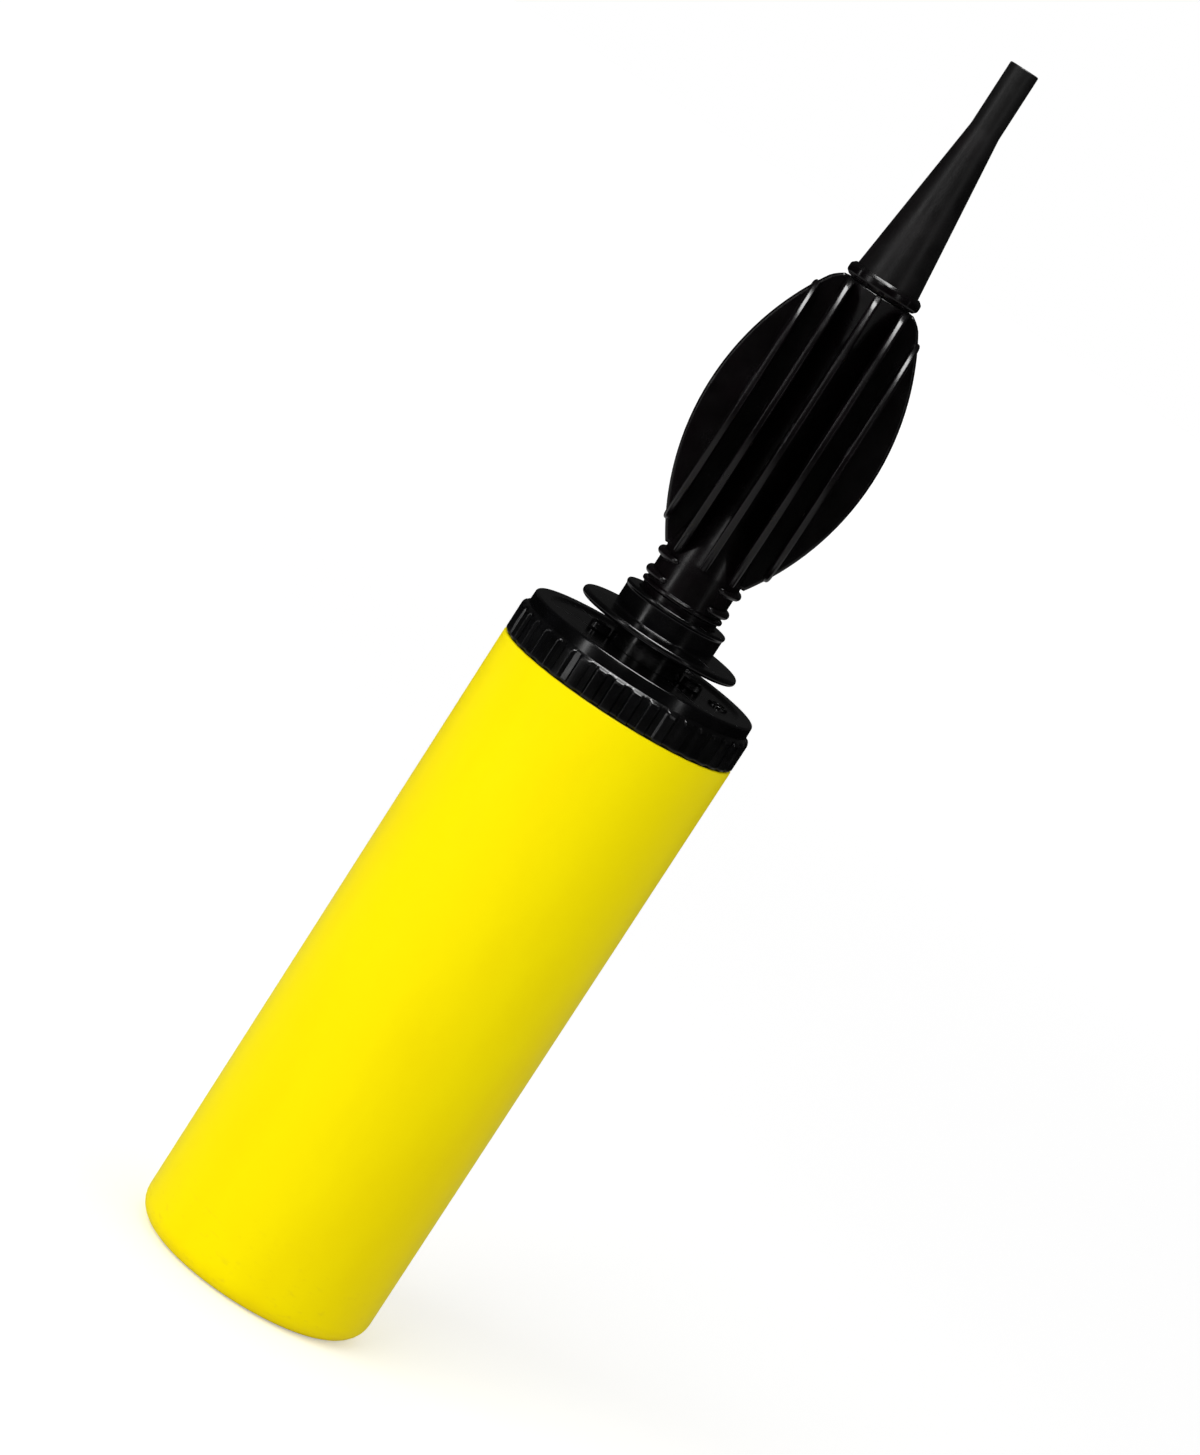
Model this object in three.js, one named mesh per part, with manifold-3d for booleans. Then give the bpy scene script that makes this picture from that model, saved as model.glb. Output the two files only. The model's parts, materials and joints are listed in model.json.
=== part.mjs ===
// A double-action hand pump with a push-in nozzle, for inflating balls and balloons.
// A closed barrel carries a screw cap. A hollow plunger slides in the cap, with the
// piston at its foot and the finned grip and the nozzle at its head. Floating valves at
// both ends of the barrel let air in, and two more in the piston pass it into the
// plunger, so that air leaves the nozzle on the way down and on the way up.
// Millimetres, +Z up along the pump's axis, origin at the centre of the barrel's base.
// The plunger stands fully in.
import * as THREE from "three";
import { mergeVertices } from "three/addons/utils/BufferGeometryUtils.js";
import Module from "manifold-3d";

const wasm = await Module();
wasm.setup();

// ---- driving dimensions ---------------------------------------------------------

const TOTAL_HEIGHT = 280;
const FIT = 0.3; // gap between two fixed pieces that meet
const RUN = 0.15; // radial gap of a piece that slides or turns on another
const FLAP_LIFT = 1; // travel of the floating valves

const BARREL_RADIUS = 26;
const BARREL_FOOT_RADIUS = 25.85; // the moulding's draft narrows it a little
const BARREL_HEIGHT = 136.6;
const BARREL_BORE = 23.6;
const BASE_ROUND = 5.4;
const BASE_RECESS = 1.2; // the base is hollowed, and stands on a foot ring
const BASE_RECESS_RADIUS = 15;
const FLOOR_TOP = 3.2;

const CAP_LOW = BARREL_HEIGHT + FIT;
const CAP_RIB_TOP = 143.3;
const CAP_TOP = 146.3;
const CAP_RIBS = 40;

const TUBE_RADIUS = 8.05;
const TUBE_BORE = 6.65;

const FLANGE_LOW = 150.7;
const FLANGE_RADIUS = 17.4;
const COLLAR_RADIUS = 10.9;
const COLLAR_TOP = 157.9;
const NECK_RADIUS = 8.35;

const GRIP_LOW = 167.5;
const GRIP_TOP = 229.5;
const GRIP_MIDDLE = 198.4;
const GRIP_RADIUS = 18.5;
const GRIP_ARC = 54.9; // radius of the arc that is turned to make the grip's lens shape
const FIN_PLACES = [-11.3, -6.1, 0, 6.1, 11.3];
const FIN_THICKNESS = 1.6;
const WEB_THICKNESS = 1.9;
const AIR_BORE = 4.2;

const NOZZLE_FOOT = 230.6;
const NOZZLE_CONE_LOW = 232.5;
const NOZZLE_CONE_TOP = 266.2;
const NOZZLE_FOOT_RADIUS = 6.77;
const NOZZLE_TIP_RADIUS = 3.1;
const NOZZLE_TIP_BORE = 2;
const NOZZLE_FOOT_BORE = 3.4;
const NOZZLE_CONE_BORE = 5;

const PISTON_LOW = 7.9;
const PISTON_RADIUS = 23.2;
const SOCKET_TOP = 29;

const ROUND = 24; // facets of a turned piece
const ROUND_LARGE = 40;
const ROUND_SMALL = 8; // facets of a small hole

// ---- making and joining solids --------------------------------------------------

function solidOf(geometry) {
  const bare = new THREE.BufferGeometry();
  const flat = geometry.index ? geometry.toNonIndexed() : geometry;
  bare.setAttribute("position", flat.getAttribute("position").clone());
  const merged = mergeVertices(bare, 1e-4);
  return new wasm.Manifold(
    new wasm.Mesh({
      numProp: 3,
      vertProperties: merged.attributes.position.array,
      triVerts: new Uint32Array(merged.index.array),
    }),
  );
}

function geometryOf(solid) {
  const mesh = solid.getMesh();
  const geometry = new THREE.BufferGeometry();
  geometry.setAttribute("position", new THREE.BufferAttribute(mesh.vertProperties, 3));
  geometry.setIndex(new THREE.BufferAttribute(mesh.triVerts, 1));
  return geometry;
}

function join(...pieces) {
  const solids = pieces.map(solidOf);
  return geometryOf(solids.reduce((whole, piece) => whole.add(piece)));
}

function cut(body, ...tools) {
  const solids = tools.map(solidOf);
  return geometryOf(solids.reduce((whole, tool) => whole.subtract(tool), solidOf(body)));
}

function common(one, other) {
  return geometryOf(solidOf(one).intersect(solidOf(other)));
}

// A solid turned about Z from [radius, height] pairs, anticlockwise in that plane. A
// profile that doesn't start on the axis is closed on itself, as a ring.
function turned(profile, facets = ROUND) {
  const closed = profile[0][0] === 0 ? profile : [...profile, profile[0]];
  const points = closed.map(([radius, height]) => new THREE.Vector2(radius, height));
  return new THREE.LatheGeometry(points, facets).rotateX(Math.PI / 2);
}

function ring(inner, outer, low, high, facets = ROUND) {
  return turned([[inner, low], [outer, low], [outer, high], [inner, high]], facets);
}

function rod(radius, low, high, facets = ROUND) {
  return turned([[0, low], [radius, low], [radius, high], [0, high]], facets);
}

function block(xs, ys, zs) {
  const [width, depth, height] = [xs, ys, zs].map(([low, high]) => high - low);
  const box = new THREE.BoxGeometry(width, depth, height);
  return box.translate(xs[0] + width / 2, ys[0] + depth / 2, zs[0] + height / 2);
}

// Points of an arc in the radius-height plane, with angles in degrees from +radius.
function arc(centre, radius, from, to, steps) {
  return Array.from({ length: steps + 1 }, (_, step) => {
    const angle = THREE.MathUtils.degToRad(from + ((to - from) * step) / steps);
    return [centre[0] + radius * Math.cos(angle), centre[1] + radius * Math.sin(angle)];
  });
}

// Copies of a tool that stands at +X, spread evenly about the axis.
function around(count, tool, turn = 0) {
  return Array.from({ length: count }, (_, index) =>
    tool.clone().rotateZ(turn + (2 * Math.PI * index) / count),
  );
}

function hole(radius, place, low, high) {
  return rod(radius, low, high, ROUND_SMALL).translate(place, 0, 0);
}

// A slot-shaped prism with its long side along X.
function oval(length, width, low, high) {
  const reach = (length - width) / 2;
  const shape = new THREE.Shape();
  shape.absarc(reach, 0, width / 2, -Math.PI / 2, Math.PI / 2);
  shape.absarc(-reach, 0, width / 2, Math.PI / 2, (3 * Math.PI) / 2);
  const options = { depth: high - low, bevelEnabled: false, curveSegments: 5 };
  return new THREE.ExtrudeGeometry(shape, options).translate(0, 0, low);
}

// ---- barrel and the inlet valve in its base ---------------------------------------

const MOUTH_LOW = 125.4; // the bore widens here to take the cap's plug
const MOUTH_BORE = 24.2;
const GASKET_SEAT = 135;
const GASKET_SEAT_RADIUS = 25.2;
const BASE_HOLE_RADIUS = 4;
const CAGE_TOP = PISTON_LOW - FIT;
const CAGE_RADIUS = 9.3;
const CAGE_WALL = 1;
const CAGE_SOCKET_WALL = 1.6; // of the ring on the floor that holds the cage
const NOTCH_HALF_WIDTH = 2; // two notches in the foot ring let air in under the base
const NOTCH_DEPTH = 0.8;
const BASE_DISC_RADIUS = 7.6;
const BASE_DISC_LOW = FLOOR_TOP + 0.1;
const BASE_DISC_THICKNESS = 1.2;
const THREAD_HEIGHTS = [128.8, 131.8]; // the cap's thread, drawn as level rings
const THREAD_DEPTH = 0.5;

// The thread's rings, going up, on or in a wall of the given radius.
function threadProfile(wall, halfWidth) {
  return THREAD_HEIGHTS.flatMap((height) => [
    [wall, height - halfWidth],
    [wall + THREAD_DEPTH, height],
    [wall, height + halfWidth],
  ]);
}

function barrel() {
  const footEdge = BARREL_FOOT_RADIUS - BASE_ROUND;
  const cageSocket = CAGE_RADIUS + FIT;
  const boreRound = 2;
  const shell = turned(
    [
      [BASE_HOLE_RADIUS, BASE_RECESS],
      [BASE_RECESS_RADIUS, BASE_RECESS],
      [BASE_RECESS_RADIUS + 1, 0],
      ...arc([footEdge, BASE_ROUND], BASE_ROUND, -90, 0, 6),
      [BARREL_RADIUS, BARREL_HEIGHT],
      [GASKET_SEAT_RADIUS, BARREL_HEIGHT],
      [GASKET_SEAT_RADIUS, GASKET_SEAT],
      [MOUTH_BORE, GASKET_SEAT],
      ...threadProfile(MOUTH_BORE, 1).reverse(),
      [MOUTH_BORE, MOUTH_LOW],
      [BARREL_BORE, MOUTH_LOW - 0.6],
      ...arc([BARREL_BORE - boreRound, FLOOR_TOP + boreRound], boreRound, 0, -90, 3),
      [cageSocket + CAGE_SOCKET_WALL, FLOOR_TOP],
      [cageSocket + CAGE_SOCKET_WALL, CAGE_TOP],
      [cageSocket, CAGE_TOP],
      [cageSocket, FLOOR_TOP],
      [BASE_HOLE_RADIUS, FLOOR_TOP],
    ],
    ROUND_LARGE,
  );
  const notchWidth = [-NOTCH_HALF_WIDTH, NOTCH_HALF_WIDTH];
  const airNotch = block([-BARREL_RADIUS, BARREL_RADIUS], notchWidth, [-1, NOTCH_DEPTH]);
  const slit = common(airNotch, rod(footEdge + 0.5, -1, 1));
  return cut(shell, slit);
}

function baseValveCage() {
  const low = FLOOR_TOP + FIT;
  const plateLow = CAGE_TOP - 1.4;
  const [airHoles, airHoleRadius, airHolePlace] = [5, 1.7, 5.2];
  const cup = turned([
    [0, plateLow],
    [CAGE_RADIUS - CAGE_WALL, plateLow],
    [CAGE_RADIUS - CAGE_WALL, low],
    [CAGE_RADIUS, low],
    [CAGE_RADIUS, CAGE_TOP],
    [0, CAGE_TOP],
  ]);
  const airHole = hole(airHoleRadius, airHolePlace, plateLow - 1, CAGE_TOP + 1);
  return cut(cup, ...around(airHoles, airHole));
}

function baseValveDisc() {
  return rod(BASE_DISC_RADIUS, BASE_DISC_LOW, BASE_DISC_LOW + BASE_DISC_THICKNESS);
}

// ---- cap, with the gland that the plunger slides in -------------------------------

const CAP_LIP_RADIUS = 24.8;
const CAP_STEP_RADIUS = 21;
const CAP_FACE = CAP_TOP - 0.5; // the sunk middle of the cap's top
const CAP_PLATE_LOW = 143.1;
const CAP_HOLE_RADIUS = 8.4;
const PLUG_RADIUS = 23.9;
const PLUG_BORE = 22;
const PLUG_LOW = 126;
const PLENUM_RADIUS = 20.5;
const PLENUM_STEP = 140.7;
const CAP_LIP_ROUND = 1.1;
const INLET_PLACE = 10.4; // two raised air inlets, on either side of the plunger
const INLET_BOSS = { length: 4.6, width: 3.6, rise: 1.8 };
const INLET_SLOT = { length: 2, width: 1.1 };
const DIMPLE = { place: 16.9, inner: 1.3, outer: 2.2, rise: 0.5 }; // mark of the mould's gate
const CAP_RING_INNER = 8.9;
const CAP_RING_OUTER = 13.2;
const GLAND_HOLE_RADIUS = CAP_HOLE_RADIUS + 0.05;
const GLAND_BORE = 9.9;
const GLAND_RADIUS = 11.6;
const GLAND_TOP = 140.9;
const GLAND_LOW = 130;
const ROD_SEAL_HEIGHT = 2.6;
const ROD_SEAL_RADIUS = 9.7;
const BUFFER_LOW = 127.5;
const CAP_RING_LOW = GLAND_TOP + 0.1;
const CAP_RING_THICKNESS = 0.9;

// The grip band's outline: ribs between narrower flats.
function ribOutline() {
  const rootRadius = 25.35;
  const crestRadius = 25.95;
  const corners = [[-0.3, rootRadius], [0, crestRadius], [0.3, rootRadius]];
  const shape = new THREE.Shape();
  for (let rib = 0; rib < CAP_RIBS; rib++) {
    for (const [share, radius] of corners) {
      const angle = (2 * Math.PI * (rib + share)) / CAP_RIBS;
      const place = [radius * Math.cos(angle), radius * Math.sin(angle)];
      if (rib === 0 && share === corners[0][0]) shape.moveTo(...place);
      else shape.lineTo(...place);
    }
  }
  return shape;
}

function cap() {
  const body = turned(
    [
      [CAP_HOLE_RADIUS, CAP_PLATE_LOW],
      [PLENUM_RADIUS, CAP_PLATE_LOW],
      [PLENUM_RADIUS, PLENUM_STEP],
      [PLUG_BORE, PLENUM_STEP],
      [PLUG_BORE, PLUG_LOW],
      [PLUG_RADIUS - 0.6, PLUG_LOW],
      [PLUG_RADIUS, PLUG_LOW + 0.8],
      ...threadProfile(PLUG_RADIUS, 0.7),
      [PLUG_RADIUS, CAP_LOW + 1],
      [CAP_LIP_RADIUS, CAP_LOW + 1],
      ...arc([CAP_LIP_RADIUS - CAP_LIP_ROUND, CAP_TOP - CAP_LIP_ROUND], CAP_LIP_ROUND, 0, 90, 4),
      [CAP_STEP_RADIUS + 0.5, CAP_TOP],
      [CAP_STEP_RADIUS, CAP_FACE],
      [CAP_HOLE_RADIUS, CAP_FACE],
    ],
    ROUND_LARGE,
  );
  const bandOptions = { depth: CAP_RIB_TOP - CAP_LOW, bevelEnabled: false };
  const band = new THREE.ExtrudeGeometry(ribOutline(), bandOptions).translate(0, 0, CAP_LOW);
  const bandRing = cut(band, rod(PLUG_RADIUS - 0.5, CAP_LOW - 1, CAP_RIB_TOP + 1, ROUND_LARGE));
  const boss = oval(INLET_BOSS.length, INLET_BOSS.width, CAP_FACE - 1, CAP_FACE + INLET_BOSS.rise);
  const inlet = oval(INLET_SLOT.length, INLET_SLOT.width, CAP_PLATE_LOW - 1, CAP_TOP + 3);
  const bosses = around(2, boss.translate(INLET_PLACE, 0, 0));
  const inlets = around(2, inlet.translate(INLET_PLACE, 0, 0));
  const rimSpan = [CAP_FACE - 0.5, CAP_FACE + DIMPLE.rise];
  const dimpleRim = ring(DIMPLE.inner, DIMPLE.outer, ...rimSpan, 16).translate(DIMPLE.place, 0, 0);
  const tubeRoom = rod(CAP_HOLE_RADIUS, CAP_PLATE_LOW - 1, CAP_TOP + 3);
  return cut(join(body, bandRing, ...bosses, dimpleRim), ...inlets, tubeRoom);
}

function capGasket() {
  const low = GASKET_SEAT + 0.2;
  const high = CAP_LOW - 0.2;
  return ring(PLUG_RADIUS + 0.2, GASKET_SEAT_RADIUS - 0.2, low, high, ROUND_LARGE);
}

function capValveRing() {
  const high = CAP_RING_LOW + CAP_RING_THICKNESS;
  return ring(CAP_RING_INNER, CAP_RING_OUTER, CAP_RING_LOW, high);
}

// A plate pressed into the cap's plug. Its hub holds the bush and the seal, and its top
// rim is where the floating ring rests.
function gland() {
  const rimRadius = PLUG_BORE - FIT;
  const rimLow = 133;
  const plate = [136, 137.8];
  const spigotRadius = 9.2;
  const rimBore = rimRadius - 1.4;
  const [airHoleRadius, airHolePlace] = [1.8, 16];
  const body = turned([
    [GLAND_HOLE_RADIUS, BUFFER_LOW + 0.4],
    [spigotRadius, BUFFER_LOW + 0.4],
    [spigotRadius, GLAND_LOW],
    [GLAND_RADIUS, GLAND_LOW],
    [GLAND_RADIUS, plate[0]],
    [rimBore, plate[0]],
    [rimBore, rimLow],
    [rimRadius, rimLow],
    [rimRadius, PLENUM_STEP - FIT],
    [rimBore, PLENUM_STEP - FIT],
    [rimBore, plate[1]],
    [GLAND_RADIUS, plate[1]],
    [GLAND_RADIUS, GLAND_TOP],
    [GLAND_BORE, GLAND_TOP],
    [GLAND_BORE, GLAND_LOW + 1],
    [GLAND_HOLE_RADIUS, GLAND_LOW + 1],
  ]);
  return cut(body, ...around(8, hole(airHoleRadius, airHolePlace, plate[0] - 1, plate[1] + 1)));
}

function rodSeal() {
  const low = GLAND_LOW + 1 + FIT;
  const lip = TUBE_RADIUS + RUN;
  return turned([
    [8.6, low],
    [ROD_SEAL_RADIUS, low],
    [ROD_SEAL_RADIUS, low + ROD_SEAL_HEIGHT],
    [8.5, low + ROD_SEAL_HEIGHT],
    [lip, low + 1.9],
    [lip, low + 1.3],
  ]);
}

function rodBush() {
  const low = GLAND_LOW + 1 + 2 * FIT + ROD_SEAL_HEIGHT;
  return ring(TUBE_RADIUS + RUN, GLAND_BORE - FIT, low, GLAND_TOP - FIT);
}

function strokeBuffer() {
  const edge = 0.4;
  const bore = 9.5;
  return turned([
    [bore, BUFFER_LOW],
    [GLAND_RADIUS - edge, BUFFER_LOW],
    [GLAND_RADIUS, BUFFER_LOW + edge],
    [GLAND_RADIUS, GLAND_LOW - FIT],
    [bore, GLAND_LOW - FIT],
  ]);
}

// ---- piston, with the two delivery valves inside it -------------------------------

const PISTON_PLATE = 2.2;
const LOWER_PLATE_TOP = PISTON_LOW + PISTON_PLATE;
const LOWER_DISC_LOW = LOWER_PLATE_TOP + 0.1;
const LOWER_DISC_THICKNESS = 1.2;
const DIVIDER_LOW = LOWER_DISC_LOW + LOWER_DISC_THICKNESS + FLAP_LIFT + FIT;
const DIVIDER_TOP = DIVIDER_LOW + 1.5;
const DIVIDER_RADIUS = 18.9;
const UPPER_RING_LOW = DIVIDER_TOP + 0.1;
const UPPER_RING_THICKNESS = 1;
const UPPER_PLATE_LOW = UPPER_RING_LOW + UPPER_RING_THICKNESS + FLAP_LIFT + 0.2;
const UPPER_PLATE_TOP = UPPER_PLATE_LOW + PISTON_PLATE;
const SEAL_GROOVE = [LOWER_PLATE_TOP + 2.3, UPPER_PLATE_TOP - 2.1];
const PISTON_PORT_RADIUS = 5.2;
const SEAL_GROOVE_RADIUS = 21.2;
const PISTON_SEAL_WAIST = 22.8; // radius between and beside its two lips
const SOCKET_RADIUS = 10.6;
const SOCKET_BORE = TUBE_RADIUS + FIT;
const TUBE_SEAL_GROOVE = [SOCKET_TOP - 4.4, SOCKET_TOP - 2];
const TUBE_SEAL_GROOVE_RADIUS = 9.8;

// The lower plate. A low fence keeps the floating disc over its port.
function pistonBase() {
  const wall = 2.2;
  const [fenceRadius, fenceHeight] = [10.5, 1.8];
  const plate = turned([
    [PISTON_PORT_RADIUS, PISTON_LOW],
    [PISTON_RADIUS - 0.6, PISTON_LOW],
    [PISTON_RADIUS, PISTON_LOW + 0.6],
    [PISTON_RADIUS, LOWER_PLATE_TOP],
    [DIVIDER_RADIUS, LOWER_PLATE_TOP],
    [DIVIDER_RADIUS, DIVIDER_LOW - FIT],
    [DIVIDER_RADIUS - wall, DIVIDER_LOW - FIT],
    [DIVIDER_RADIUS - wall, LOWER_PLATE_TOP],
    [fenceRadius, LOWER_PLATE_TOP],
    [fenceRadius, LOWER_PLATE_TOP + fenceHeight],
    [fenceRadius - 1, LOWER_PLATE_TOP + fenceHeight],
    [fenceRadius - 1, LOWER_PLATE_TOP],
    [PISTON_PORT_RADIUS, LOWER_PLATE_TOP],
  ]);
  const airWay = block([9, 11], [-2.2, 2.2], [LOWER_PLATE_TOP, LOWER_PLATE_TOP + 3]);
  return cut(plate, ...around(4, airWay));
}

function lowerDeliveryDisc() {
  const radius = 9;
  return rod(radius, LOWER_DISC_LOW, LOWER_DISC_LOW + LOWER_DISC_THICKNESS);
}

function pistonDivider() {
  const plate = rod(DIVIDER_RADIUS, DIVIDER_LOW, DIVIDER_TOP);
  const [portRadius, portPlace] = [1.5, 11.8];
  return cut(plate, ...around(8, hole(portRadius, portPlace, DIVIDER_LOW - 1, DIVIDER_TOP + 1)));
}

function upperDeliveryRing() {
  const [inner, outer] = [13.8, 18.2];
  return ring(inner, outer, UPPER_RING_LOW, UPPER_RING_LOW + UPPER_RING_THICKNESS);
}

function pistonBody() {
  const cup = turned([
    [DIVIDER_RADIUS + FIT, LOWER_PLATE_TOP + FIT],
    [PISTON_RADIUS, LOWER_PLATE_TOP + FIT],
    [PISTON_RADIUS, SEAL_GROOVE[0]],
    [SEAL_GROOVE_RADIUS, SEAL_GROOVE[0]],
    [SEAL_GROOVE_RADIUS, SEAL_GROOVE[1]],
    [PISTON_RADIUS, SEAL_GROOVE[1]],
    [PISTON_RADIUS, UPPER_PLATE_TOP - 0.6],
    [PISTON_RADIUS - 0.6, UPPER_PLATE_TOP],
    [SOCKET_RADIUS, UPPER_PLATE_TOP],
    [SOCKET_RADIUS, SOCKET_TOP],
    [SOCKET_BORE, SOCKET_TOP],
    [SOCKET_BORE, TUBE_SEAL_GROOVE[1]],
    [TUBE_SEAL_GROOVE_RADIUS, TUBE_SEAL_GROOVE[1]],
    [TUBE_SEAL_GROOVE_RADIUS, TUBE_SEAL_GROOVE[0]],
    [SOCKET_BORE, TUBE_SEAL_GROOVE[0]],
    [SOCKET_BORE, UPPER_PLATE_TOP],
    [TUBE_BORE, UPPER_PLATE_TOP],
    [TUBE_BORE, UPPER_PLATE_LOW],
    [DIVIDER_RADIUS - FIT, UPPER_PLATE_LOW],
    [DIVIDER_RADIUS - FIT, DIVIDER_TOP + FIT],
    [DIVIDER_RADIUS + FIT, DIVIDER_TOP + FIT],
  ]);
  const gusset = block([SOCKET_RADIUS - 1, 15], [-0.8, 0.8], [UPPER_PLATE_TOP - 1, UPPER_PLATE_TOP + 5]);
  const [portRadius, portPlace] = [1.3, 16];
  const ports = around(8, hole(portRadius, portPlace, UPPER_PLATE_LOW - 1, UPPER_PLATE_TOP + 1));
  return cut(join(cup, ...around(4, gusset, Math.PI / 8)), ...ports);
}

// Two soft lips on one ring, so that it seals on both strokes.
function pistonSeal() {
  const [low, high] = [SEAL_GROOVE[0] + FIT, SEAL_GROOVE[1] - FIT];
  const lip = BARREL_BORE - RUN;
  return turned(
    [
      [SEAL_GROOVE_RADIUS + FIT, low],
      [PISTON_SEAL_WAIST, low],
      [lip, low + 0.5],
      [lip, low + 0.9],
      [PISTON_SEAL_WAIST, (low + high) / 2],
      [lip, high - 0.9],
      [lip, high - 0.5],
      [PISTON_SEAL_WAIST, high],
      [SEAL_GROOVE_RADIUS + FIT, high],
    ],
    ROUND_LARGE,
  );
}

function tubeSeal() {
  const [low, high] = TUBE_SEAL_GROOVE;
  return ring(TUBE_RADIUS + RUN, TUBE_SEAL_GROOVE_RADIUS - 0.2, low + 0.2, high - 0.2);
}

// ---- plunger tube, head and grip --------------------------------------------------

const TUBE_TOP = FLANGE_LOW + 2.8;
const NECK_LOW = TUBE_TOP + 2 * FIT;
const SPIGOT_LOW = 138;
const SPIGOT_RADIUS = TUBE_BORE - FIT;
const HEAD_SEAL_GROOVE = [146.8, 149.2];
const HEAD_SEAL_GROOVE_RADIUS = 5.4;
const CORE_RADIUS = 5.8;
const CORE_TOP_RADIUS = 7.7;
const LEDGE_HEIGHT = 159.7; // a thin ledge round the neck, just over the collar
const LEDGE_DEPTH = 0.6;
const RIDGE_HEIGHTS = [161.6, 165.9];
const RIDGE_DEPTH = 1.05;
const RIDGE_GAP = 10.4; // the ridges stop short of the neck's front and back
const NOZZLE_SPIGOT_RADIUS = 4.6;
const NOZZLE_SPIGOT_LOW = 222;

function plungerTube() {
  return ring(TUBE_BORE, TUBE_RADIUS, UPPER_PLATE_TOP + FIT, TUBE_TOP);
}

// The stop flange, with the collar that holds the grip's neck.
function plungerHead() {
  const rim = 0.8;
  return turned(
    [
      [SOCKET_BORE, FLANGE_LOW],
      ...arc([FLANGE_RADIUS - rim, FLANGE_LOW + rim], rim, -90, 60, 5),
      [COLLAR_RADIUS, FLANGE_LOW + 1.9],
      [COLLAR_RADIUS, COLLAR_TOP - 1],
      [COLLAR_RADIUS + 0.25, COLLAR_TOP - 0.5],
      [COLLAR_RADIUS, COLLAR_TOP],
      [NECK_RADIUS + FIT, COLLAR_TOP],
      [NECK_RADIUS + FIT, TUBE_TOP + FIT],
      [SOCKET_BORE, TUBE_TOP + FIT],
    ],
  );
}

function headSeal() {
  const [low, high] = HEAD_SEAL_GROOVE;
  const outer = SPIGOT_RADIUS + RUN;
  return ring(HEAD_SEAL_GROOVE_RADIUS + 0.2, outer, low + 0.2, high - 0.2);
}

function gripRadius(height) {
  const rise = height - GRIP_MIDDLE;
  return GRIP_RADIUS - GRIP_ARC + Math.sqrt(GRIP_ARC ** 2 - rise ** 2);
}

function gripEnvelope() {
  const steps = 10;
  const edge = Array.from({ length: steps + 1 }, (_, step) => {
    const height = GRIP_LOW + ((GRIP_TOP - GRIP_LOW) * step) / steps;
    return [gripRadius(height), height];
  });
  return turned([[0, GRIP_LOW], ...edge, [0, GRIP_TOP]], ROUND);
}

// The air tube at the grip's heart, with the neck and its spigot below.
function gripCore() {
  return turned([
    [0, SPIGOT_LOW],
    [SPIGOT_RADIUS - 0.6, SPIGOT_LOW],
    [SPIGOT_RADIUS, SPIGOT_LOW + 1],
    [SPIGOT_RADIUS, HEAD_SEAL_GROOVE[0]],
    [HEAD_SEAL_GROOVE_RADIUS, HEAD_SEAL_GROOVE[0]],
    [HEAD_SEAL_GROOVE_RADIUS, HEAD_SEAL_GROOVE[1]],
    [SPIGOT_RADIUS, HEAD_SEAL_GROOVE[1]],
    [SPIGOT_RADIUS, NECK_LOW],
    [NECK_RADIUS, NECK_LOW],
    [NECK_RADIUS, LEDGE_HEIGHT - 0.5],
    [NECK_RADIUS + LEDGE_DEPTH, LEDGE_HEIGHT - 0.2],
    [NECK_RADIUS + LEDGE_DEPTH, LEDGE_HEIGHT + 0.2],
    [NECK_RADIUS, LEDGE_HEIGHT + 0.5],
    [NECK_RADIUS, GRIP_LOW],
    [NECK_RADIUS - 0.75, GRIP_LOW + 5.5],
    [CORE_RADIUS, GRIP_LOW + 10.5],
    [CORE_RADIUS, GRIP_TOP - 11.5],
    [CORE_TOP_RADIUS, GRIP_TOP],
    [0, GRIP_TOP],
  ]);
}

// A round-crested ridge on each side of the neck, open at the front and the back.
function neckRidge(height) {
  const crest = NECK_RADIUS + RIDGE_DEPTH;
  const whole = turned([
    [NECK_RADIUS - 0.5, height - 0.9],
    [NECK_RADIUS, height - 0.9],
    [crest - 0.3, height - 0.7],
    [crest, height],
    [crest - 0.3, height + 0.7],
    [NECK_RADIUS, height + 0.9],
    [NECK_RADIUS - 0.5, height + 0.9],
  ]);
  const gap = block([-RIDGE_GAP / 2, RIDGE_GAP / 2], [-12, 12], [height - 2, height + 2]);
  return cut(whole, gap);
}

function grip() {
  const span = [GRIP_LOW - 1, GRIP_TOP + 1];
  const reach = GRIP_RADIUS + 1;
  const half = FIN_THICKNESS / 2;
  const fins = FIN_PLACES.map((place) => block([place - half, place + half], [-reach, reach], span));
  const web = block([-reach, reach], [-WEB_THICKNESS / 2, WEB_THICKNESS / 2], span);
  const blades = common(join(web, ...fins), gripEnvelope());
  const ridges = RIDGE_HEIGHTS.map(neckRidge);
  const seatLow = NOZZLE_SPIGOT_LOW - FIT;
  const airWay = rod(AIR_BORE, SPIGOT_LOW - 1, GRIP_TOP + 1, 24);
  const nozzleSeat = rod(NOZZLE_SPIGOT_RADIUS + FIT, seatLow, GRIP_TOP + 1, 24);
  return cut(join(gripCore(), blades, ...ridges), airWay, nozzleSeat);
}

// ---- nozzle ------------------------------------------------------------------------

function nozzleSeal() {
  return ring(NOZZLE_SPIGOT_RADIUS + FIT, 6.8, GRIP_TOP + 0.2, NOZZLE_FOOT - 0.15);
}

// The bead that closes the joint between the grip and the nozzle.
function nozzleRing() {
  const low = GRIP_TOP + FIT;
  const middle = (low + NOZZLE_CONE_LOW) / 2;
  const inner = NOZZLE_FOOT_RADIUS + FIT;
  const beadRadius = 1.15;
  return turned([
    [inner, low],
    ...arc([inner - 0.27, middle], beadRadius, -70, 70, 6),
    [inner, NOZZLE_CONE_LOW],
  ]);
}

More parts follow.
